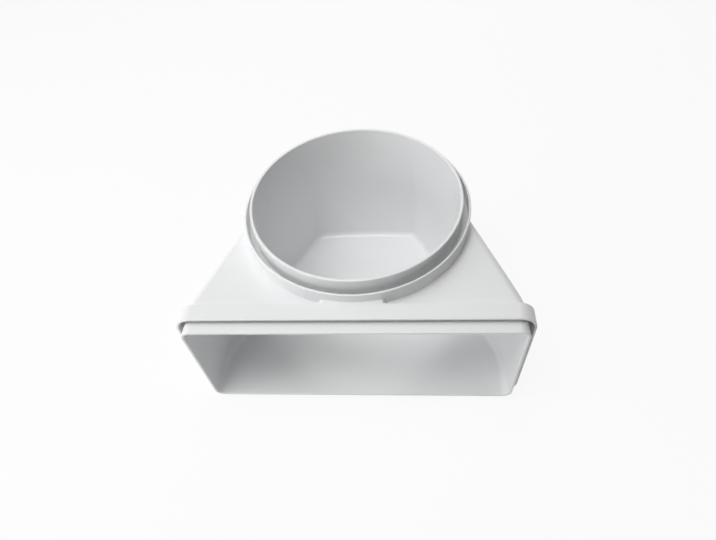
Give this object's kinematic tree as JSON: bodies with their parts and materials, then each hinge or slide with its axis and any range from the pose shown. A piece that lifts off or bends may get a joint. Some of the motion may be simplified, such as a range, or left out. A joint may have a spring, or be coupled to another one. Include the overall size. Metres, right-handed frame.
{
  "type": "rectangular to round duct elbow",
  "caption": "Moulded right-angle duct elbow that turns a flat rectangular ventilation duct up into a round one, with a collared spigot at each mouth.",
  "frame": {"origin": "middle of the underside of the part's box, level with the underside of the flat collar", "axes": "+Z is the round spigot's axis and points out of the round mouth; -Y points out of the flat mouth; X runs along the flat mouth's long side"},
  "size_m": [0.2282, 0.1805, 0.1126],
  "materials": {
    "white_pvc": "glossy white moulded PVC"
  },
  "bodies": {
    "root": {"duct_elbow": "white_pvc"}
  },
  "joints": []
}
